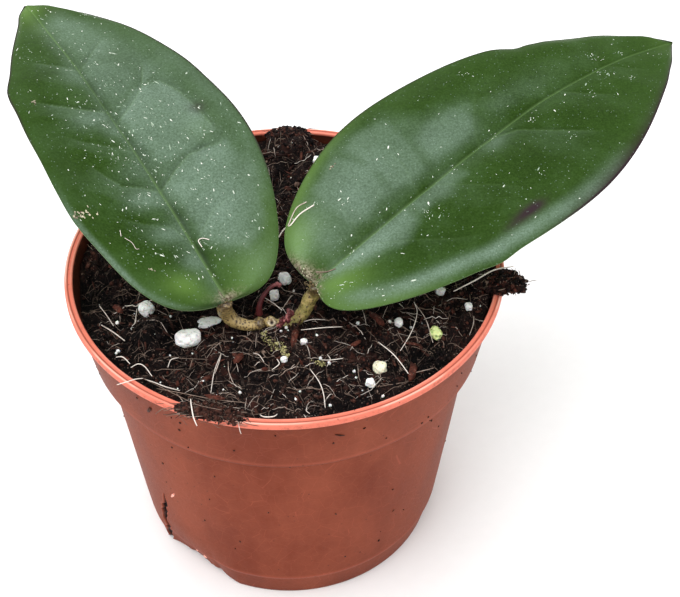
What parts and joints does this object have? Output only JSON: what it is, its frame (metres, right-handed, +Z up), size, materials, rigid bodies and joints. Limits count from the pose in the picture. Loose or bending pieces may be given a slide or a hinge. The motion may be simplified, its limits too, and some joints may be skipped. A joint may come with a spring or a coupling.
{
  "type": "potted hoya plant",
  "caption": "Young hoya with broad thick leaves on short corky stems, rooted in potting mix in a round plastic nursery pot with a stepped rim.",
  "frame": {"origin": "centre of the pot's underside, on the surface that the pot stands on", "axes": "+Z up along the pot's axis, front towards -Y, and the leaves spread along X"},
  "size_m": [0.1447, 0.1046, 0.099],
  "materials": {
    "pot_plastic": "satin",
    "potting_mix": "matte",
    "stem": "matte",
    "leaf": "satin",
    "shoot": "satin",
    "perlite": "matte"
  },
  "bodies": {
    "root": {"pot": "pot_plastic", "potting_mix": "potting_mix", "stem": "stem", "leaf_left": "leaf", "leaf_right": "leaf", "shoot_left": "shoot", "shoot_right": "shoot", "perlite_01": "perlite", "perlite_02": "perlite", "perlite_03": "perlite", "perlite_04": "perlite", "perlite_05": "perlite", "perlite_06": "perlite", "perlite_07": "perlite", "perlite_08": "perlite", "perlite_09": "perlite", "perlite_10": "perlite", "perlite_11": "perlite", "perlite_12": "perlite", "perlite_13": "perlite", "perlite_14": "perlite", "perlite_15": "perlite", "perlite_16": "perlite", "perlite_17": "perlite", "perlite_18": "perlite", "perlite_19": "perlite", "perlite_20": "perlite"}
  },
  "joints": []
}
